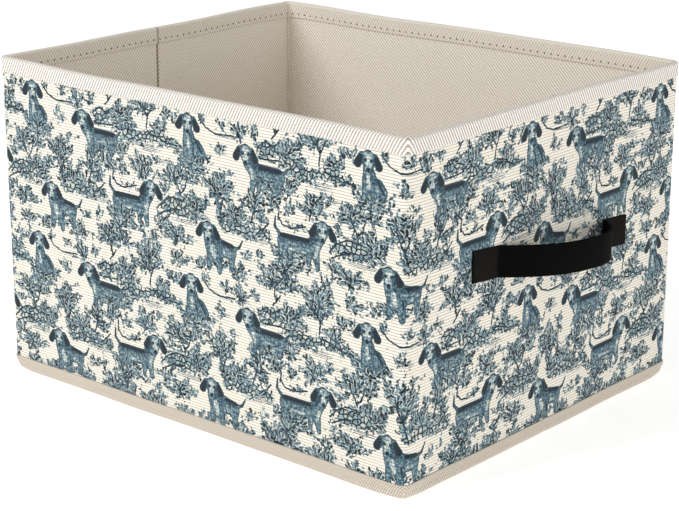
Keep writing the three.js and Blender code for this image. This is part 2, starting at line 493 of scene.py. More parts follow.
RESTING = (
    HEAD + [(3, 6, 9, 10, 4.4, 5.6), (9, 10, 29, 10.4, 6.2, 6.2), (8, 12, 6, 22, 3.2, 2.0),
            (13, 13, 12, 22, 2.8, 1.8), (28, 12, 29, 20, 4.4, 2.2), (34, 7, 38, 3, 1.1, 0.7)],
    HEAD_DARK + [(13, 6.2, 31, 6.4, 1.6, 1.5), (11, 12, 10.6, 19, 0.6, 0.5),
                 (24, 11, 26, 17, 0.6, 0.5)],
    HEAD_LIGHT + [(5, 9, 6.4, 15, 1.5, 1.2), (15, 13.4, 23, 13.6, 0.9, 0.8)],
)
WALKING = (
    [(x0 + 40, y0 - 7, x1 + 40, y1 - 7, r0, r1) for x0, y0, x1, y1, r0, r1 in HEAD]
    + [(37, -2, 32, 4, 4.4, 6.2), (31, 5, 7, 5, 6.0, 6.0), (34, 8, 36, 18, 3.4, 1.8),
       (29, 8, 28, 17, 3.0, 1.7), (6, 7, 5, 16, 4.0, 2.0), (12, 8, 13, 15, 3.2, 1.8),
       (3, 0, -1, -4, 1.4, 1.0), (-1, -4, -0.6, -11, 1.0, 0.7)],
    [(x0 + 40, y0 - 7, x1 + 40, y1 - 7, r0, r1) for x0, y0, x1, y1, r0, r1 in HEAD_DARK]
    + [(5, 1, 28, 0.9, 1.7, 1.4), (-1, -4, -0.6, -11, 0.8, 0.5), (30, 8, 31, 15, 0.6, 0.5)],
    [(x0 + 40, y0 - 7, x1 + 40, y1 - 7, r0, r1) for x0, y0, x1, y1, r0, r1 in HEAD_LIGHT]
    + [(36, 4, 34, 11, 1.5, 1.0), (12, 8.6, 24, 8.8, 1.0, 0.8)],
)
FACING = (
    HEAD + [(1, 5, 4, 9, 5.0, 6.8), (4, 9, 6, 13, 7.0, 7.2), (12, 9, 21, 10, 6.4, 5.6),
            (1.5, 16, 0.5, 25, 3.2, 2.2), (9.5, 17, 10.5, 26, 3.2, 2.2),
            (22, 12, 22, 22, 3.8, 1.9), (24, 7, 29, 6, 1.4, 0.9), (29, 6, 32.5, 0, 0.9, 0.6)],
    HEAD_DARK + [(14, 5, 24, 6.2, 1.5, 1.4), (10.6, 12, 12, 20, 0.7, 0.6),
                 (29, 6, 32.5, 0, 0.7, 0.5), (-1, 24.6, 1, 24.8, 0.9, 0.8)],
    HEAD_LIGHT + [(4, 10, 5.4, 16, 2.2, 2.0), (15, 12.4, 19, 12.6, 0.9, 0.8)],
)
DOGS = [(SEATED, 35, 20), (RESTING, 88, 33), (WALKING, 115, 80), (FACING, 52, 92)]

# Tree crowns and leafy sprigs: centre x, y, half width, half height, fullness.
CROWNS = [
    (82, 18, 8, 7, 0.9), (68, 16, 6, 5, 0.7), (96, 16, 5, 6, 0.7), (127, 24, 12, 8, 1.3),
    (148, 13, 12, 7, 1.1), (8, 27, 8, 6, 1.0), (14, 17, 6, 5, 0.8), (23, 18, 5, 6, 0.7),
    (38, 45, 15, 7, 1.1), (49, 13, 4, 4, 0.8), (63, 33, 6, 6, 0.7), (73, 47, 7, 4, 0.6),
    (63, 59, 12, 10, 1.2), (112, 58, 9, 8, 0.95), (96, 62, 8, 10, 1.0), (127, 62, 6, 5, 0.9),
    (85, 65, 6, 4, 0.6), (147, 57, 11, 9, 1.0), (3, 50, 6, 4, 0.7), (23, 57, 13, 8, 1.1),
    (39, 56, 7, 6, 1.0), (38, 77, 13, 9, 1.35), (78, 75, 12, 8, 1.1), (92, 84, 14, 5, 1.15),
    (102, 72, 6, 6, 0.9), (126, 95, 15, 8, 1.15), (124, 102, 13, 5, 1.1), (8, 93, 8, 6, 0.8),
    (22, 100, 13, 7, 1.0), (0, 105, 6, 5, 0.8), (89, 101, 6, 4, 0.7), (80, 115, 9, 7, 1.0),
    (112, 112, 13, 8, 1.15), (128, 113, 7, 6, 1.0), (152, 117, 13, 8, 1.2), (24, 116, 9, 6, 0.9),
    (44, 116, 8, 5, 0.9), (139, 38, 15, 5, 0.85), (14, 36, 14, 4, 0.95), (108, 48, 14, 6, 1.05),
    (126, 47, 8, 7, 1.0), (66, 78, 6, 7, 1.05), (20, 82, 14, 5, 0.8), (106, 29, 12, 6, 0.7),
    (60, 112, 14, 5, 0.8), (144, 100, 7, 5, 0.6), (134, 73, 9, 4, 0.55), (53, 42, 5, 5, 0.6),
    (100, 99, 6, 5, 0.6), (12, 68, 8, 5, 0.7), (51, 70, 6, 5, 0.7), (157, 68, 5, 5, 0.6),
]
# Trunks and branches: points along each, in millimetres.
STEMS = [
    [(27, 71), (25, 66), (22, 62), (21, 56)], [(27, 70), (31, 66), (33, 59)],
    [(66, 82), (64, 74), (61, 68), (58, 60)], [(64, 74), (67, 66)],
    [(152, 29), (153, 22), (150, 17), (145, 12)], [(153, 22), (157, 14)],
    [(112, 18), (115, 15), (113, 11)], [(115, 15), (118, 11)],
    [(46, 14), (52, 20), (61, 23), (76, 22)], [(100, 25), (106, 21), (112, 24), (118, 20)],
    [(100, 32), (96, 33), (106, 33), (118, 32)], [(84, 27), (83, 20), (78, 15)],
    [(92, 78), (95, 70), (97, 61), (93, 54)], [(95, 70), (102, 68)],
    [(118, 70), (121, 74), (128, 75), (140, 72)], [(117, 70), (118, 63), (112, 58)],
    [(144, 66), (146, 60), (148, 54)], [(125, 112), (122, 104), (117, 98)],
    [(122, 106), (129, 99)], [(156, 33), (6, 34), (14, 37), (24, 37)],
    [(98, 84), (104, 80), (108, 76)], [(100, 79), (104, 83)], [(20, 106), (22, 100), (16, 96)],
    [(114, 125), (113, 118), (108, 112)], [(113, 118), (119, 112)], [(151, 128), (152, 120)],
    [(4, 84), (10, 78), (18, 74), (30, 75)], [(6, 88), (14, 84), (24, 82)],
]
# Rubble and hatched ground: centre x, y, half width, half height.
ROCKS = [(132, 35, 16, 6), (108, 26, 12, 6), (4, 34, 16, 5), (22, 80, 18, 8), (84, 84, 16, 5),
         (142, 36, 12, 5), (70, 86, 8, 4), (107, 84, 5, 5)]
GROUND = [(154, 43, 12, 1.8), (135, 41, 14, 1.3), (98, 89, 22, 1.3), (33, 89, 20, 1.2),
          (70, 23, 12, 0.8), (97, 33, 10, 0.9), (7, 51, 8, 1.0), (88, 104, 8, 1.0),
          (66, 35, 8, 1.0)]


# Layers of leaves: cells per millimetre, where the cells start, half length and half breadth.
LEAF_LAYERS = [(0.34, 31.0, 2.5, 0.95), (0.27, 57.0, 3.1, 1.2), (0.23, 7.0, 3.6, 1.35),
               (0.30, 93.0, 2.9, 1.1)]


def ellipse_reach(u, v, x, y, half_x, half_y):
    """0 at the middle of an ellipse and 1 at its edge."""
    return np.hypot(wrapped(u - x, TILE_U) / half_x, wrapped(v - y, TILE_V) / half_y)


def nearest_limb(u, v, limbs, x, y, blend):
    """Signed distance to a group of limbs whose origin is at x, y."""
    reach = np.full(u.shape, 30.0)
    for x0, y0, x1, y1, r0, r1 in limbs:
        limb = capsule(u, v, x + x0, y + y0, x + x1, y + y1, r0, r1)
        reach = soft_min(reach, limb, blend) if blend else np.minimum(reach, limb)
    return reach


def print_fields(u, v):
    """The print at places on the cloth, as vectors: the dogs, the lines, the leaves, the rest."""
    far = np.full(u.shape, 30.0)
    dog, dark, light = far.copy(), far.copy(), far.copy()
    above = np.zeros(u.shape)
    for (limbs, marks, patches), x, y in DOGS:
        body = nearest_limb(u, v, limbs, x, y, 1.0)
        lifted = nearest_limb(u, v + 1.8, limbs, x, y, 1.0)
        above = np.where(body < dog, body - lifted, above)
        dog = np.minimum(dog, body)
        dark = np.minimum(dark, nearest_limb(u, v, marks, x, y, 0))
        light = np.minimum(light, nearest_limb(u, v, patches, x, y, 0))

    near, side = far.copy(), far.copy()
    for stem in STEMS:
        for (x0, y0), (x1, y1) in zip(stem[:-1], stem[1:]):
            x1 = x0 + wrapped(x1 - x0, TILE_U)
            reach = capsule(u, v, x0, y0, x1, y1, 0, 0)
            px, py = wrapped(u - x0, TILE_U), wrapped(v - y0, TILE_V)
            across = ((x1 - x0) * py - (y1 - y0) * px) / math.hypot(x1 - x0, y1 - y0)
            closer = reach < near
            near = np.where(closer, reach, near)
            side = np.where(closer, across, side)

    leaf = np.zeros(u.shape)
    lean_x, lean_y = np.zeros(u.shape), np.full(u.shape, -1.0)
    best = far.copy()
    for x, y, half_x, half_y, full in CROWNS:
        px = wrapped(u - x, TILE_U)
        py = wrapped(v - (y + 0.6 * half_y), TILE_V)
        sprays = 0.24 * np.sin(7 * np.arctan2(py, px) + x)
        reach = ellipse_reach(u, v, x, y, half_x, half_y)
        leaf = np.maximum(leaf, full * (1.55 - reach + sprays * np.clip(reach, 0, 1)))
        closer = reach < best
        best = np.where(closer, reach, best)
        size = np.maximum(np.hypot(px, py), 0.5)
        lean_x = np.where(closer, px / size, lean_x)
        lean_y = np.where(closer, py / size, lean_y)

    rock = np.zeros(u.shape)
    for x, y, half_x, half_y in ROCKS:
        rock = np.maximum(rock, 1.3 - ellipse_reach(u, v, x, y, half_x, half_y))
    ground = np.zeros(u.shape)
    for x, y, half_x, half_y in GROUND:
        ground = np.maximum(ground, 1.2 - ellipse_reach(u, v, x, y, half_x, half_y * 2))
    return {
        "print_dog": np.stack([dog, dark, light], axis=-1),
        "print_line": np.stack([side, near, rock], axis=-1),
        "print_leaf": np.stack([leaf, lean_x, lean_y], axis=-1),
        "print_rest": np.stack([ground, above, far * 0], axis=-1),
    }


def add_leaves(shader, ink, place_mm, patch, lean, scale, shift, length, breadth):
    """Draws a layer of pointed leaves over the ink, one to a cell, lying roughly along lean. Each
    has a lighter and a darker half and a clear edge."""
    moved = shader.vector("ADD", place_mm, (shift, shift * 0.7, 0))
    cells = shader.node("ShaderNodeTexVoronoi", {"Vector": moved, "Scale": scale,
                                                 "Randomness": 0.9},
                        voronoi_dimensions="2D")
    offset = shader.vector("SUBTRACT", moved, cells.outputs["Position"])
    chance = shader.split(cells.outputs["Color"])
    swing = shader.times(shader.minus(chance[0], 0.5), 2.0)
    turned = shader.node("ShaderNodeVectorRotate", {"Vector": offset, "Angle": swing},
                         rotation_type="Z_AXIS").outputs[0]
    lean_parts = shader.split(lean)
    ahead = shader.vector("DOT_PRODUCT", turned, shader.join(lean_parts[1], lean_parts[2]))
    across_way = shader.join(shader.times(lean_parts[2], -1.0), lean_parts[1])
    across = shader.vector("DOT_PRODUCT", turned, across_way)
    along = shader.math("POWER", shader.absolute(shader.over(ahead, length)), 2.0)
    width = shader.over(shader.absolute(across), breadth)
    shape = shader.minus(1.0, shader.plus(along, width))
    grows = shader.step(shader.muladd(chance[1], 0.5, patch), 0.85, 0.95)
    blade = shader.times(shader.step(shape, 0.0, 0.25), grows)
    clear = shader.times(shader.step(shape, -0.45, -0.1), grows)
    half = shader.step(across, -0.1, 0.1)
    tone = shader.muladd(chance[2], 0.62, 0.26)
    tone = shader.muladd(half, 0.22, tone)
    tone = shader.muladd(shader.step(patch, 1.1, 2.0), 0.22, tone)
    below = shader.times(ink, shader.muladd(clear, -0.72, 1.0))
    return shader.most(below, shader.times(blade, tone))


def cover_material():
    shader = Shader("printed canvas")
    place_mm = shader.uv_mm()
    u, v = shader.split(place_mm)[0], shader.split(place_mm)[1]
    dog, dark, light = shader.split(shader.attribute("print_dog"))[:3]
    side, near, rock = shader.split(shader.attribute("print_line"))[:3]
    leaf_field = shader.attribute("print_leaf")
    ground, above, _ = shader.split(shader.attribute("print_rest"))[:3]
    rough = shader.noise(place_mm, 0.42, 3.0)
    wobble = shader.minus(rough, 0.5)
    grain = shader.minus(shader.noise(place_mm, 1.6, 2.0), 0.5)
    drift = shader.minus(shader.noise(place_mm, 0.14, 2.0), 0.5)
    patch = shader.muladd(wobble, 1.3, shader.split(leaf_field)[0])
    patch = shader.muladd(drift, 1.5, patch)

    # Trunks and twigs.
    bark = shader.step(shader.absolute(shader.muladd(wobble, 1.8, side)), 0.8, 0.3)
    stems = shader.times(bark, shader.step(near, 1.6, 1.0))
    stems = shader.times(stems, 0.95)

    # Rubble: stones outlined, each given its own tone.
    bent = shader.vector("ADD", place_mm, shader.join(shader.times(wobble, 3.0), 0.0))
    stone = shader.node("ShaderNodeTexVoronoi", {"Vector": bent, "Scale": 0.27},
                        voronoi_dimensions="2D", feature="DISTANCE_TO_EDGE")
    stone_cell = shader.node("ShaderNodeTexVoronoi", {"Vector": bent, "Scale": 0.27},
                             voronoi_dimensions="2D")
    joint = shader.step(stone.outputs["Distance"], 0.20, 0.06)
    shade = shader.times(shader.split(stone_cell.outputs["Color"])[0], 0.42)
    rubble = shader.most(joint, shade)
    strewn = shader.step(shader.muladd(wobble, 1.8, rock), 0.35, 0.55)

    # Hatched ground.
    lines = shader.sine(shader.plus(shader.times(v, 5.2), shader.times(rough, 9.0)))
    hatch = shader.step(lines, 0.1, 0.8)
    lie = shader.step(shader.muladd(wobble, 1.5, ground), 0.25, 0.8)
    soil = shader.times(shader.times(hatch, lie), 0.85)

    # Leaves: a soft wash, then four layers, each over the last.
    ink = shader.times(shader.step(patch, 0.85, 1.5), 0.5)
    ink = shader.most(shader.most(ink, stems), soil)
    for scale, shift, length, breadth in LEAF_LAYERS:
        ink = add_leaves(shader, ink, place_mm, patch, leaf_field, scale, shift, length, breadth)
    ink = shader.times(ink, shader.muladd(strewn, -0.8, 1.0))
    ink = shader.most(ink, shader.times(rubble, strewn))
    ink = shader.most(ink, shader.times(stems, 0.8))

    # Dogs: a clear edge, a washed coat with fine strokes, darker along the back, with dark ears,
    # eyes and nose, a light muzzle and chest, and feet lost among the leaves.
    clear = shader.minus(1.0, shader.step(dog, 0.3, 1.5))
    clear = shader.times(clear, shader.step(above, -0.3, 0.9))
    ink = shader.times(ink, shader.minus(1.0, clear))
    coat_noise = shader.noise(shader.vector("MULTIPLY", place_mm, (0.8, 1.0, 1)), 0.5, 4.0)
    strokes = shader.sine(shader.plus(shader.times(u, 3.4), shader.times(rough, 18.0)))
    coat = shader.muladd(coat_noise, 1.25, -0.17)
    coat = shader.muladd(strokes, 0.10, coat)
    coat = shader.muladd(grain, 0.35, coat)
    coat = shader.plus(coat, shader.times(shader.step(above, -0.4, 1.4), 0.16))
    pale = shader.step(shader.muladd(wobble, 1.6, light), 0.8, -0.8)
    coat = shader.minus(coat, shader.times(pale, 0.30))
    marks = shader.step(shader.muladd(grain, 1.2, dark), 0.7, -0.4)
    coat = shader.most(coat, shader.times(marks, 0.88))
    edge = shader.step(shader.absolute(shader.plus(dog, 0.25)), 0.7, 0.15)
    coat = shader.most(coat, shader.times(edge, 0.72), clamp=True)
    body = shader.step(shader.muladd(grain, 0.8, dog), 0.3, -0.2)
    hidden = shader.times(shader.step(patch, 0.7, 1.3), shader.step(above, 0.3, -0.9))
    body = shader.times(body, shader.muladd(hidden, -0.7, 1.0))
    bare = shader.times(ink, shader.minus(1.0, body))
    ink = shader.muladd(coat, body, bare)

    # Canvas: crosswise ribs, each made of short picks that step by half from rib to rib.
    yarn = shader.noise(shader.vector("MULTIPLY", place_mm, (0.25, 1.0, 1)), 0.9, 2.0)
    v_bent = shader.muladd(yarn, 0.5, v)
    rib_place = shader.over(v_bent, 2.05)
    row = shader.math("FLOOR", rib_place)
    rib = shader.sine(shader.times(shader.fract(rib_place), math.pi))
    pick_place = shader.plus(shader.over(u, 1.45), shader.times(row, 0.5))
    pick = shader.sine(shader.times(shader.fract(pick_place), math.pi))
    gap = shader.muladd(pick, -0.3, 0.62)
    weave = shader.over(rib, gap, clamp=True)
    weave = shader.times(weave, shader.muladd(pick, 0.12, 0.88))
    ground_color = shader.mix(weave, rgb(158, 124, 86), rgb(237, 235, 225))
    blotch = shader.step(shader.noise(place_mm, 0.05, 2.0), 0.3, 0.7)
    ground_color = shader.mix(shader.times(blotch, 0.25), ground_color, rgb(240, 226, 202))
    ink = shader.times(ink, shader.muladd(weave, 0.25, 0.78), clamp=True)
    printed = shader.ramp(ink, [
        (0.0, (1, 1, 1, 1)), (0.22, rgb(166, 194, 208)), (0.5, rgb(76, 114, 140)),
        (0.75, rgb(34, 61, 80)), (1.0, rgb(6, 16, 22))])
    color = shader.mix(1.0, ground_color, printed, "MULTIPLY")
    shader.bump(shader.muladd(yarn, 0.3, weave), 0.00028)
    return shader.finish(color, 0.86, sheen=0.12)


def twill(shader, u, v, pitch, slope):
    """Slanted threads: 0 in the grooves and 1 on the threads."""
    slant = shader.muladd(v, slope, u)
    phase = shader.times(shader.over(slant, pitch), 2 * math.pi)
    return shader.muladd(shader.sine(phase), 0.5, 0.5)


def foot_tape_material_painted_shade():
    shader = Shader("woven foot tape with painted shade")
    place_mm = shader.uv_mm()
    u, v = shader.split(place_mm)[0], shader.split(place_mm)[1]
    rough = shader.noise(place_mm, 0.8, 2.0)
    threads = twill(shader, shader.muladd(rough, 0.5, u), v, 1.9, -0.8)
    fine = twill(shader, v, u, 1.5, 0.5)
    weave = shader.muladd(fine, 0.45, shader.times(threads, 0.6))
    # Painted shade: the tape is coloured darker than the rim's binding to stand in for the shade it
    # sits in; its finer weave is its own.
    color = shader.mix(shader.step(weave, 0.1, 0.7), rgb(122, 110, 96), rgb(220, 210, 196))
    blotch = shader.noise(place_mm, 0.03, 2.0)
    color = shader.mix(shader.times(blotch, 0.3), color, rgb(200, 188, 170))
    shader.bump(weave, 0.0002)
    return shader.finish(color, 0.88, sheen=0.1)


def tape_material():
    """The binding's u turns back at each corner, and its v is the distance along its section."""
    shader = Shader("woven binding tape")
    place_mm = shader.uv_mm()
    u, v = shader.split(place_mm)[0], shader.split(place_mm)[1]
    rough = shader.noise(place_mm, 0.8, 2.0)
    u_bent = shader.muladd(rough, 0.5, u)
    threads = twill(shader, u_bent, v, 2.5, -0.55)
    fine = twill(shader, v, u, 1.25, 0.35)
    weave = shader.muladd(fine, 0.35, shader.times(threads, 0.75))
    color = shader.mix(shader.step(weave, 0.12, 0.62), rgb(112, 102, 94), rgb(243, 238, 231))
    blotch = shader.noise(place_mm, 0.03, 2.0)
    color = shader.mix(shader.times(blotch, 0.25), color, rgb(228, 218, 206))

    # The side that is folded in is plainer, and holds the needle holes.
    turned_in = shader.step(v, FOLD_RUN - 0.5, FOLD_RUN + 2.5)
    plain = shader.mix(shader.step(weave, 0.0, 0.7), rgb(196, 184, 168), rgb(244, 237, 226))
    along = shader.absolute(shader.math("WRAP", u, STITCH_PITCH / MM / 2, -STITCH_PITCH / MM / 2))
    hole = shader.join(along, shader.minus(v, STITCH_RUN))
    needle = shader.step(shader.vector("LENGTH", hole), 0.95, 0.45)
    plain = shader.mix(needle, plain, rgb(74, 62, 50))
    color = shader.mix(turned_in, color, plain)
    # Painted shade: the tape is darkened where it runs into the creases on the inside of the end
    # walls.
    crease_shade = shader.split(shader.attribute("crease_shade"))[0]
    color = shader.mix(crease_shade, color, rgb(96, 84, 70))
    shader.bump(weave, 0.0002)
    return shader.finish(color, 0.85, sheen=0.15)


def lining_material():
    shader = Shader("lining cloth")
    place_mm = shader.uv_mm()
    u, v = shader.split(place_mm)[0], shader.split(place_mm)[1]
    rough = shader.noise(place_mm, 0.6, 2.0)
    u_bent = shader.muladd(rough, 0.7, u)
    threads = twill(shader, u_bent, v, 3.1, -1.0)
    cross = twill(shader, u, v, 1.55, 1.0)
    weave = shader.muladd(cross, 0.25, shader.times(threads, 0.8))
    color = shader.mix(shader.step(weave, 0.1, 0.62), rgb(198, 184, 166), rgb(255, 251, 243))
    blotch = shader.noise(place_mm, 0.022, 2.0)
    color = shader.mix(shader.times(blotch, 0.3), color, rgb(230, 218, 200))
    # Painted shade: the lining is darkened down the crease in the middle of each end wall.
    crease_shade = shader.split(shader.attribute("crease_shade"))[0]
    color = shader.mix(crease_shade, color, rgb(88, 76, 62))
    shader.bump(weave, 0.00018)
    return shader.finish(color, 0.88, sheen=0.1)


def strap_material():
    shader = Shader("black webbing")
    place_mm = shader.uv_mm()
    u, v = shader.split(place_mm)[0], shader.split(place_mm)[1]
    threads = twill(shader, u, v, 1.0, 0.0)
    cross = twill(shader, v, u, 0.8, 0.5)
    weave = shader.times(threads, cross)
    patchy = shader.noise(place_mm, 0.12, 3.0)
    tone = shader.muladd(patchy, 0.5, shader.times(weave, 0.4))
    # Painted light: the sewn ends, flat on the wall, are coloured lighter than the bowed strap
    # between them, though both are the same webbing.
    sewn = shader.step(shader.absolute(u), STRAP_FREE - 3, STRAP_FREE + 1)
    color = shader.mix(tone, rgb(2, 2, 2), rgb(13, 13, 11))
    color = shader.mix(sewn, color, shader.mix(tone, rgb(13, 12, 11), rgb(34, 32, 29)))
    shader.bump(weave, 0.00008)
    return shader.finish(color, 0.85, specular=0.05)


def board_material():
    shader = Shader("paperboard")
    place_mm = shader.object_mm()
    fibre = shader.noise(shader.vector("MULTIPLY", place_mm, (1, 1, 3)), 0.9, 5.0)
    fleck = shader.step(shader.noise(place_mm, 2.5, 1.0), 0.62, 0.72)
    color = shader.mix(fibre, rgb(142, 120, 92), rgb(188, 168, 138))
    color = shader.mix(shader.times(fleck, 0.5), color, rgb(104, 88, 68))
    shader.bump(fibre, 0.0001)
    return shader.finish(color, 0.92)


def thread_material():
    shader = Shader("sewing thread")
    place_mm = shader.object_mm()
    twist = shader.noise(place_mm, 3.0, 2.0)
    color = shader.mix(twist, rgb(214, 200, 178), rgb(250, 244, 232))
    shader.bump(twist, 0.0001)
    return shader.finish(color, 0.7, sheen=0.1)


def rim_profile():
    """The rim tape in section: (outset, height) round a closed loop, and distance along it."""
    top = RIM + 0.25 * MM
    low_out = RIM - RIM_OUTSIDE
    inner = -WALL - TAPE
    outside = [(0.05 * MM, low_out + 0.4 * MM), (0.45 * MM, low_out), (TAPE, low_out + 0.3 * MM)]
    outside += [(TAPE, z) for z in np.linspace(low_out + 1.2 * MM, top - 2.2 * MM, 7)]
    middle = (TAPE + inner) / 2
    half = (TAPE - inner) / 2
    turn = [(middle + half * math.cos(a), top - 2 * MM + 2 * MM * math.sin(a))
            for a in np.linspace(0.2, math.pi - 0.2, 9)]
    inside = [(inner, z) for z in np.linspace(top - 2.2 * MM, HEM_LOW + 1.2 * MM, 8)]
    inside += [(inner, HEM_LOW + 0.3 * MM), (inner + 0.4 * MM, HEM_LOW),
               (inner + TAPE - 0.05 * MM, HEM_LOW + 0.4 * MM)]
    hidden = [(-WALL + 0.05 * MM, RIM - 1.5 * MM), (0.02 * MM, RIM - 1.5 * MM)]
    profile = np.array(outside + turn + inside + hidden)
    steps = np.linalg.norm(np.diff(profile, axis=0), axis=1)
    return profile, np.concatenate([[0], np.cumsum(steps)])


RIM_SECTION, RIM_RUN = rim_profile()
INNER_FACE = -WALL - TAPE
FOLD_RUN = RIM_RUN[np.argmax(RIM_SECTION[:, 1])] / MM
on_inside = RIM_SECTION[:, 0] < INNER_FACE + 0.01 * MM
STITCH_RUN = np.interp(-(RIM - STITCH_DEPTH), -RIM_SECTION[on_inside, 1],
                       RIM_RUN[on_inside]) / MM

COVER = cover_material()
TAPE_CLOTH = tape_material()
FOOT_CLOTH_PAINTED_SHADE = foot_tape_material_painted_shade()
LINING = lining_material()
STRAP = strap_material()
BOARD = board_material()
THREAD = thread_material()


# ---------------------------------------------------------------------------------------------
# The walls' cloth
# ---------------------------------------------------------------------------------------------
def build_cover():
    ring = Ring(1.5 * MM, 8)
    z = np.linspace(COVER_LOW, RIM - 1.5 * TAPE, 156)
    front_left = ring.along[np.argmin(np.hypot(ring.line[:, 0] + HALF_LENGTH,
                                               ring.line[:, 1] + HALF_WIDTH))]
    for name, stations in stretches(ring).items():
        points = place(ring, stations, np.zeros((len(stations), len(z))), z)
        u = np.repeat(ring.along[stations][:, None] - front_left, len(z), axis=1)
        v = np.repeat((RIM - z)[None, :], len(stations), axis=0)
        fields = print_fields(u / MM, v / MM)
        uv = np.stack([u, v], axis=-1)
        piece = loft(f"cover_{name}", points, COVER, uv, fields)
        thicken(piece, 0.6 * MM, -1)
        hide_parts(*[f"{body}_cover" for body in STANDS_FOR[name]])
        follow(piece, name)


def build_lining():
    ring = Ring(4 * MM, 6)
    z = np.linspace(LINING_LOW, RIM - 2 * TAPE, 50)
    groove = np.exp(-((crease_distance(ring) / (0.9 * MM)) ** 2))
    for name, stations in stretches(ring).items():
        outset = np.repeat((-WALL + 1.3 * MM * groove)[stations][:, None], len(z), axis=1)
        points = place(ring, stations, outset, z)
        u = np.repeat(ring.zigzag[stations][:, None], len(z), axis=1)
        uv = np.stack([u, np.repeat(z[None, :], len(stations), axis=0)], axis=-1)
        # Painted shade down the crease, which the lining's colour reads.
        crease_shade = np.repeat(0.85 * groove[stations][:, None], len(z), axis=1)
        piece = loft(f"lining_{name}", points, LINING, uv, {"crease_shade": as_vector(crease_shade)},
                     outward=False)
        thicken(piece, 0.4 * MM, -1)
        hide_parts(*[f"{body}_lining" for body in STANDS_FOR[name]])
        follow(piece, name)


def sweep_profile(name, ring, stations, profile, run, material, replaced, pucker=None):
    """Carries a closed section along the ring."""
    outset = np.repeat(profile[:, 0][None, :], len(stations), axis=0)
    z = np.repeat(profile[:, 1][None, :], len(stations), axis=0)
    if pucker is not None:
        outset = outset + pucker
    points = place(ring, stations, outset, z)
    u = np.repeat(ring.zigzag[stations][:, None], len(profile), axis=1)
    uv = np.stack([u, np.repeat(run[None, :], len(stations), axis=0)], axis=-1)
    # Painted shade: darker near the end walls' creases, on the tape's inner face only.
    crease_shade = 0.75 * np.exp(-((crease_distance(ring) / (0.8 * MM)) ** 2))[stations]
    crease_shade_inside = np.clip(-outset / WALL, 0, 1) * crease_shade[:, None]
    piece = loft(name, points, material, uv, {"crease_shade": as_vector(crease_shade_inside)}, wrap=True)
    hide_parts(*replaced)
    return piece


def build_rim_tape():
    ring = Ring(2.2 * MM, 8)
    for name, stations in stretches(ring).items():
        replaced = [f"{body}_rim_tape" for body in STANDS_FOR[name]]
        piece = sweep_profile(f"rim_tape_{name}", ring, stations, RIM_SECTION, RIM_RUN,
                              TAPE_CLOTH, replaced)
        follow(piece, name)


def foot_profile(low, high, rounded):
    """The foot tape in section, between two heights. It turns in towards the bottom."""
    edge = 4.6 * MM

    def face(z):
        fall = np.clip((low + edge - z) / edge, 0, 1)
        return TAPE - edge * (1 - np.sqrt(1 - 0.97 * fall ** 2)) * 0.62 if rounded else TAPE

    points = [(face(z), z) for z in np.linspace(low, high - 0.3 * MM, 9)]
    if rounded:
        points += [(TAPE, high), (0.0, high), (points[0][0] - 0.8 * MM, low)]
    else:
        points += [(0.4 * MM, high), (0.04 * MM, high - 0.3 * MM), (0.04 * MM, low)]
    profile = np.array(points)
    steps = np.linalg.norm(np.diff(profile, axis=0), axis=1)
    return profile, np.concatenate([[0], np.cumsum(steps)]) + low


def foot_corner(ring):
    """How near the foot's corner is: from 0 well away from it to 1 at its tip."""
    return np.clip(1 - corner_distance(ring) / FOOT_REACH, 0, 1)


def foot_round(ring, stations, profile):
    """The foot's corners are rounder than the walls' above them: how far it draws in."""
    near = foot_corner(ring)[stations][:, None]
    fall = np.clip(1 - profile[:, 1] / COVER_LOW, 0, 1)[None, :]
    return -3.4 * MM * near ** 1.5 * fall ** 0.6


def build_foot_tape():
    """The upper part is cut into the same stretches as the walls' cloth. The lower part, which lies
    round the base board, is cut at the hinges, and each piece of it moves with its own wall."""
    ring = Ring(2.2 * MM, 8)
    profile, run = foot_profile(FOOT_SPLIT, FOOT_TOP, False)
    for name, stations in stretches(ring).items():
        replaced = [f"{body}_foot_tape" for body in STANDS_FOR[name]]
        piece = sweep_profile(f"foot_tape_{name}", ring, stations, profile, run, FOOT_CLOTH_PAINTED_SHADE,
                              replaced, foot_round(ring, stations, profile))
        follow(piece, name)
    profile, run = foot_profile(0.15 * MM, FOOT_SPLIT, True)
    x, y = ring.line.T
    order = np.arange(len(x))
    corner_y = HINGE["right_back_corner"].y
    left_first = on_left(ring.line) & (order < len(x) // 3)
    spans = {
        "left_back": np.flatnonzero(left_first & (y > -1e-6) & (y < corner_y + 1e-6)),
        "left_front": np.flatnonzero(left_first & (y < 1e-6) & (y > -corner_y - MM)),
        "front": np.flatnonzero(y < -corner_y + MM),
        "right_front": np.flatnonzero(on_right(ring.line) & (y < 1e-6) & (y > -corner_y - MM)),
        "right_back": np.flatnonzero(on_right(ring.line) & (y > -1e-6) & (y < corner_y + MM)),
        "back": np.flatnonzero((y > corner_y - MM) & (order > len(x) // 2)),
    }
    for body, stations in spans.items():
        piece = sweep_profile(f"foot_edge_{body}", ring, stations, profile, run, FOOT_CLOTH_PAINTED_SHADE,
                              [], foot_round(ring, stations, profile))
        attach(piece, body)
        if body != "front":
            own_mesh(piece)


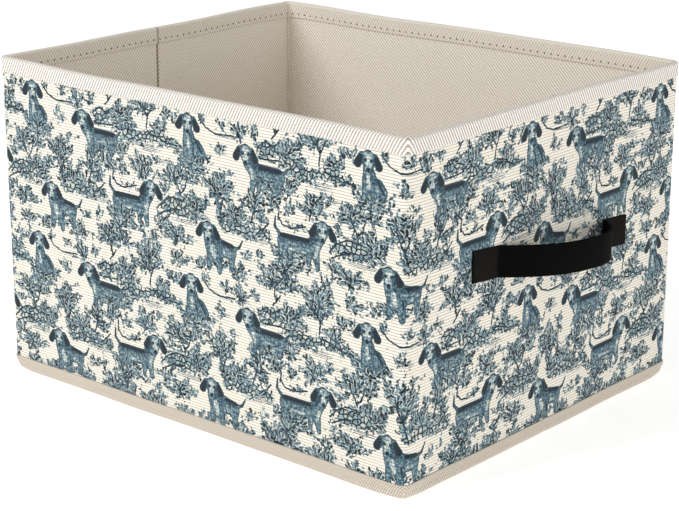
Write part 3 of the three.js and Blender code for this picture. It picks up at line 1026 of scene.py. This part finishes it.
def build_boards():
    """The stiffeners between cover and lining, which share the walls' slight curve. Their lower
    corners are clipped, to clear the rounded foot."""
    ring = Ring(5 * MM, 4)
    x, y = ring.line.T
    first = np.arange(len(x)) < len(x) // 3
    walls = {
        "left_back": on_left(ring.line) & first & (y > 0),
        "left_front": on_left(ring.line) & first & (y < 0),
        "front": np.abs(y + HALF_WIDTH) < 1e-6,
        "right_front": on_right(ring.line) & (y < 0),
        "right_back": on_right(ring.line) & (y > 0),
        "back": np.abs(y - HALF_WIDTH) < 1e-6,
    }
    for body, wall in walls.items():
        low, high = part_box(f"{body}_board")
        inside = wall & (x > low.x - 3 * MM) & (x < high.x + 3 * MM)
        inside &= (y > low.y - 1e-4) & (y < high.y + 1e-4) | (np.abs(np.abs(y) - HALF_WIDTH) < 1e-6)
        stations = np.flatnonzero(inside)
        clipped = 6.5 * MM * foot_corner(ring)[stations][:, None] ** 2
        z = np.linspace(low.z, high.z, 60)
        raised = np.clip(z[None, :], low.z + clipped, None)
        points = place(ring, stations, -1.8 * MM, raised)
        flat = np.repeat(ring.along[stations][:, None], len(z), axis=1)
        uv = np.stack([flat, np.repeat(z[None, :], len(stations), axis=0)], axis=-1)
        piece = loft(f"board_{body}", points, BOARD, uv)
        thicken(piece, 1.7 * MM, 0)
        piece.modifiers["thickness"].use_rim = True
        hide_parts(f"{body}_board")
        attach(piece, body)


def build_base():
    """The sewn bottom, with round corners."""
    low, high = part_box("base_fabric")
    x_steps = np.linspace(low.x + 2.6 * MM, high.x - 2.6 * MM, 60)
    y_steps = np.linspace(low.y + 2.6 * MM, high.y - 2.6 * MM, 50)
    x, y = np.meshgrid(x_steps, y_steps, indexing="ij")
    round_start = x_steps[-1] - BASE_ROUND
    past = np.clip(np.abs(x) - round_start, 0, BASE_ROUND)
    y = y * (1 - (BASE_ROUND - np.sqrt(BASE_ROUND ** 2 - past ** 2)) / y_steps[-1])
    z = 0.3 * MM + 0.1 * MM * np.sin(x / (19 * MM)) * np.sin(y / (23 * MM))
    points = np.stack([x, y, z], axis=-1)
    piece = loft("base_cloth", points, LINING, np.stack([x, y], axis=-1), outward=True)
    thicken(piece, 0.4 * MM, 1)
    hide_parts("base_fabric")
    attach(piece, "front")
    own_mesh(piece)


def build_board_skin():
    """The cloth over the loose bottom board, and its pull tab."""
    low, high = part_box("base_board_skin")
    edge = 1.2 * MM
    section = []
    for cy, start in ((high.y - edge, 0.0), (low.y + edge, math.pi / 2)):
        for a in np.linspace(start, start + math.pi / 2, 5):
            section.append((cy + edge * math.cos(a), high.z - edge + edge * math.sin(a)))
    top_y = np.linspace(high.y - edge, low.y + edge, 40)[1:-1]
    section[5:5] = [(y, high.z) for y in top_y]
    section = [(high.y, low.z + 0.5 * MM)] + section + [(low.y, low.z + 0.5 * MM)]
    section = np.array(section) - (0, 0.2 * MM)
    run = np.concatenate([[0], np.cumsum(np.linalg.norm(np.diff(section, axis=0), axis=1))])
    xs = np.linspace(low.x + 0.8 * MM, high.x - 0.8 * MM, 60)
    pillow = 0.15 * MM * np.sin(np.linspace(0, math.pi, len(xs)))[:, None]
    x = np.repeat(xs[:, None], len(section), axis=1)
    y = np.repeat(section[:, 0][None, :], len(xs), axis=0)
    z = np.repeat(section[:, 1][None, :], len(xs), axis=0) - pillow * 0.5
    uv = np.stack([x, np.repeat(run[None, :], len(xs), axis=0)], axis=-1)
    piece = loft("board_skin", np.stack([x, y, z], axis=-1), LINING, uv, outward=False)
    thicken(piece, 0.4 * MM, -1)
    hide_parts("base_board_skin")
    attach(piece, "base_panel")

    low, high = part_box("base_pull_tab")
    ts = np.linspace(0, 1, 14)
    ys = np.linspace(low.y, high.y, 18)
    x = low.x + (high.x - low.x) * np.repeat(ts[None, :], len(ys), axis=0)
    y = np.repeat(ys[:, None], len(ts), axis=1)
    lift = 0.35 * MM * np.sin(np.linspace(0, math.pi, len(ys)))[:, None]
    z = np.full(x.shape, low.z + 0.35 * MM) + lift
    uv = np.stack([x, y], axis=-1)
    piece = loft("pull_tab", np.stack([x, y, z], axis=-1), TAPE_CLOTH, uv, outward=False)
    thicken(piece, 0.6 * MM, 0)
    piece.modifiers["thickness"].use_rim = True
    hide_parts("base_pull_tab")
    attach(piece, "base_panel")


# ---------------------------------------------------------------------------------------------
# Straps
# ---------------------------------------------------------------------------------------------
def build_strap(node):
    """A strap sewn down at both ends that bows out between them, over the CAD strap."""
    low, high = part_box(node)
    sign = 1 if high.x > 0 else -1
    farthest = max(abs(vertex.co.x) for vertex in frame["nodes"][node].data.vertices)
    tall, thick = STRAP_HEIGHT, STRAP_THICK
    drop = (high.z - low.z - tall) / 2
    middle_z = (low.z + high.z) / 2
    reach = (high.y - low.y) / 2
    half_open, peak = STRAP_OPEN, STRAP_PEAK
    bow = farthest - HALF_LENGTH - thick
    y = np.concatenate([np.linspace(-reach, -half_open, 8)[:-1],
                        np.linspace(-half_open, half_open, 61),
                        np.linspace(half_open, reach, 8)[1:]])
    span = np.where(y < peak, half_open + peak, half_open - peak)
    share = np.clip(np.abs(y - peak) / span, 0, 1)
    off = bow * (1 - share ** np.where(y < peak, 2.2, 3.0))
    slope = np.gradient(off, y)
    run = np.hypot(1, slope)
    section = []
    edge = 0.6 * MM
    for cz, cn, start in ((tall / 2 - edge, thick - edge, 0), (tall / 2 - edge, edge, 0.5),
                          (edge - tall / 2, edge, 1.0), (edge - tall / 2, thick - edge, 1.5)):
        for a in np.linspace(start, start + 0.5, 4) * math.pi:
            section.append((cn + edge * math.cos(a), cz + edge * math.sin(a)))
    section = np.array(section)
    order = np.argsort(np.arctan2(section[:, 1] / tall, (section[:, 0] - thick / 2) / thick))
    section = section[order]
    outset = off[:, None] + section[None, :, 0] / run[:, None]
    along = y[:, None] - section[None, :, 0] * (slope / run)[:, None]
    z = middle_z - (drop / reach) * along + section[None, :, 1]
    x = sign * (HALF_LENGTH + outset + 0.05 * MM)
    points = np.stack([x, along, z], axis=-1)
    travel = np.concatenate([[0], np.cumsum(np.hypot(np.diff(y), np.diff(off)))])
    travel = travel - travel[-1] / 2
    uv = np.stack([np.repeat(travel[:, None], len(section), axis=1),
                   np.repeat(section[None, :, 1], len(y), axis=0)], axis=-1)
    piece = loft(node.replace("_handle", ""), points, STRAP, uv, wrap=True, outward=sign > 0)
    close_ends(piece, len(y), len(section), sign > 0)
    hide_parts(node)
    start, end = (sign * HALF_LENGTH, -half_open, 0), (sign * HALF_LENGTH, half_open, 0)
    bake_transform(piece)


def close_ends(piece, rows, columns, outward):
    """Caps both ends of a lofted tube."""
    bm = bmesh.new()
    bm.from_mesh(piece.data)
    bm.verts.ensure_lookup_table()
    for row in (0, rows - 1):
        ends = [bm.verts[row * columns + c] for c in range(columns)]
        bm.faces.new(ends)
    bmesh.ops.recalc_face_normals(bm, faces=bm.faces)
    bm.to_mesh(piece.data)
    bm.free()


# ---------------------------------------------------------------------------------------------
# Stitches
# ---------------------------------------------------------------------------------------------
def build_stitches():
    """Thread along the inside of the rim tape, one run on each panel."""
    ring = Ring(1.6 * MM, 6)
    x, y = ring.line.T
    order = np.arange(len(x))
    first = order < len(x) // 3
    clear = 9 * MM
    edge = abs(HINGE["right_back_corner"].y) - 2 * MM
    end = HALF_LENGTH - clear
    spans = {
        "left_back": on_left(ring.line) & first & (y > 3 * MM) & (y < edge),
        "left_front": on_left(ring.line) & first & (y < -3 * MM) & (y > -edge),
        "front": (y < -HALF_WIDTH + 1e-6) & (np.abs(x) < end),
        "right_front": on_right(ring.line) & (y < -3 * MM) & (y > -edge),
        "right_back": on_right(ring.line) & (y > 3 * MM) & (y < edge),
        "back": (y > HALF_WIDTH - 1e-6) & (np.abs(x) < end),
    }
    z_row = np.array([RIM - STITCH_DEPTH])
    inner = -WALL - TAPE
    surface = place(ring, order, np.full((len(order), 1), inner), z_row)[:, 0]
    for body, inside in spans.items():
        line = surface[inside]
        normal = -ring.normal[inside]
        along = ring.zigzag[inside]
        if along[-1] < along[0]:
            line, normal, along = line[::-1], normal[::-1], along[::-1]
        first_centre = (math.ceil(along[0] / STITCH_PITCH) + 0.5) * STITCH_PITCH
        centres = np.arange(first_centre, along[-1] - STITCH_PITCH / 2, STITCH_PITCH)
        points, quads = [], []
        for s in centres:
            at = np.array([np.interp(s, along, line[:, k]) for k in range(3)])
            ahead = np.array([np.interp(s + MM, along, line[:, k]) for k in range(3)]) - at
            ahead /= np.linalg.norm(ahead)
            out = np.array([np.interp(s, along, normal[:, 0]), np.interp(s, along, normal[:, 1]),
                            0])
            add_stitch(points, quads, at, ahead, out)
        points = np.array(points)
        piece = make_object(f"stitches_{body}", points, np.array(quads), THREAD,
                            points[:, :2])
        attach(piece, body)


def add_stitch(points, quads, at, ahead, out):
    """One stitch: a short thread that dips into the cloth at both ends and leans a little."""
    half, thick = 0.36 * STITCH_PITCH, 0.24 * MM
    up = np.array([0, 0, 1.0])
    first = len(points)
    sides, rows = 6, 6
    for i in range(rows):
        t = -1 + 2 * i / (rows - 1)
        rise = 0.18 * MM * (1 - t ** 4) - 0.12 * MM
        centre = at + ahead * half * t + up * 0.35 * MM * t + out * rise
        for k in range(sides):
            turn = 2 * math.pi * k / sides
            points.append(centre + up * thick * math.cos(turn) + out * thick * 0.7 * math.sin(turn))
    for i in range(rows - 1):
        for k in range(sides):
            n = (k + 1) % sides
            quads.append([first + i * sides + k, first + i * sides + n,
                          first + (i + 1) * sides + n, first + (i + 1) * sides + k])


def build_seam_bead():
    """The bead of cloth down the inside of the corner where the cover is sewn to itself."""
    x, y = -(HALF_LENGTH - WALL - 0.5 * MM), HALF_WIDTH - WALL - 0.5 * MM
    zs = np.linspace(LINING_LOW, RIM - 1.2 * MM, 90)
    sides = 10
    turns = np.arange(sides) * 2 * math.pi / sides
    wander = 0.25 * MM * np.sin(zs / (9 * MM)) + 0.15 * MM * np.sin(zs / (4 * MM) + 1)
    radius = (1.0 + 0.12 * np.sin(zs / (1.1 * MM))) * MM
    px = x + 0.4 * MM + wander[:, None] + radius[:, None] * np.cos(turns)[None, :]
    py = y - 0.4 * MM + wander[:, None] * 0.5 + radius[:, None] * np.sin(turns)[None, :]
    pz = np.repeat(zs[:, None], sides, axis=1)
    uv = np.stack([np.repeat((turns * MM)[None, :], len(zs), axis=0), pz], axis=-1)
    piece = loft("seam_bead", np.stack([px, py, pz], axis=-1), THREAD, uv, wrap=True,
                 outward=False)
    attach(piece, "back")


build_seam_bead()
build_cover()
build_lining()
build_rim_tape()
build_foot_tape()
build_boards()
build_base()
build_board_skin()
build_strap("right_handle_strap")
build_strap("left_handle_strap")
build_stitches()

for node, made in frame["nodes"].items():
    made.data.materials.clear()
    made.data.materials.append(BOARD)


# ---------------------------------------------------------------------------------------------
# Stage
# ---------------------------------------------------------------------------------------------
def build_stage():
    shader = Shader("pale floor")
    shade = shader.noise(shader.object_mm(), 0.004, 2.0)
    floor_color = shader.mix(shade, rgb(250, 250, 249), rgb(255, 255, 255))
    shader.finish(floor_color, 0.9, specular=0.1)
    shader.surface.inputs["Emission Color"].default_value = (1, 1, 1, 1)
    shader.surface.inputs["Emission Strength"].default_value = 0.48
    size = 12.0
    points = np.array([[-size, -size, 0], [size, -size, 0], [size, size, 0], [-size, size, 0]],
                      float)
    floor = make_object("floor", points, np.array([[0, 1, 2, 3]]), shader.material, points[:, :2])

    world = bpy.data.worlds.new("studio")
    bpy.context.scene.world = world
    world.use_nodes = True
    background = world.node_tree.nodes["Background"]
    background.inputs["Color"].default_value = (1.0, 0.995, 0.985, 1)
    background.inputs["Strength"].default_value = 0.52


def add_area_light(name, azimuth, elevation, distance, size, power):
    """A round lamp aimed at the bin's middle. Angles in degrees, lengths in metres, watts."""
    light = bpy.data.lights.new(name, "AREA")
    light.shape = "DISK"
    light.size = size
    light.energy = power
    lamp = bpy.data.objects.new(name, light)
    a, e = math.radians(azimuth), math.radians(elevation)
    back = Vector((math.sin(a) * math.cos(e), -math.cos(a) * math.cos(e), math.sin(e)))
    target = Vector((0, 0, RIM / 2))
    lamp.location = target + back * distance
    lamp.rotation_mode = "QUATERNION"
    lamp.rotation_quaternion = (-back).to_track_quat("-Z", "Y")
    bpy.context.scene.collection.objects.link(lamp)


def build_camera():
    """Fitted to the photo's corners, without lens shift."""
    azimuth, elevation = math.radians(40.85), math.radians(17.15)
    distance = 1.4534
    sensor = 36.0
    focal_share = 1953.0 / 679.0    # focal length over picture width, both in pixels
    side = Vector((math.cos(azimuth), math.sin(azimuth), 0)) * 1.07 * MM
    aim = side + Vector((0, 0, 90.6 * MM))
    back = Vector((math.sin(azimuth) * math.cos(elevation),
                   -math.cos(azimuth) * math.cos(elevation), math.sin(elevation)))
    data = bpy.data.cameras.new("camera")
    data.sensor_width = sensor
    data.lens = sensor * focal_share
    camera = bpy.data.objects.new("camera", data)
    camera.location = aim + back * distance
    camera.rotation_mode = "QUATERNION"
    camera.rotation_quaternion = (-back).to_track_quat("-Z", "Y")
    bpy.context.scene.collection.objects.link(camera)
    bpy.context.scene.camera = camera


build_stage()
add_area_light("key", -24, 36, 2.2, 1.2, 24)
add_area_light("fill", 82, 4, 2.6, 1.0, 19)
build_camera()
bpy.context.scene.view_settings.view_transform = "Standard"
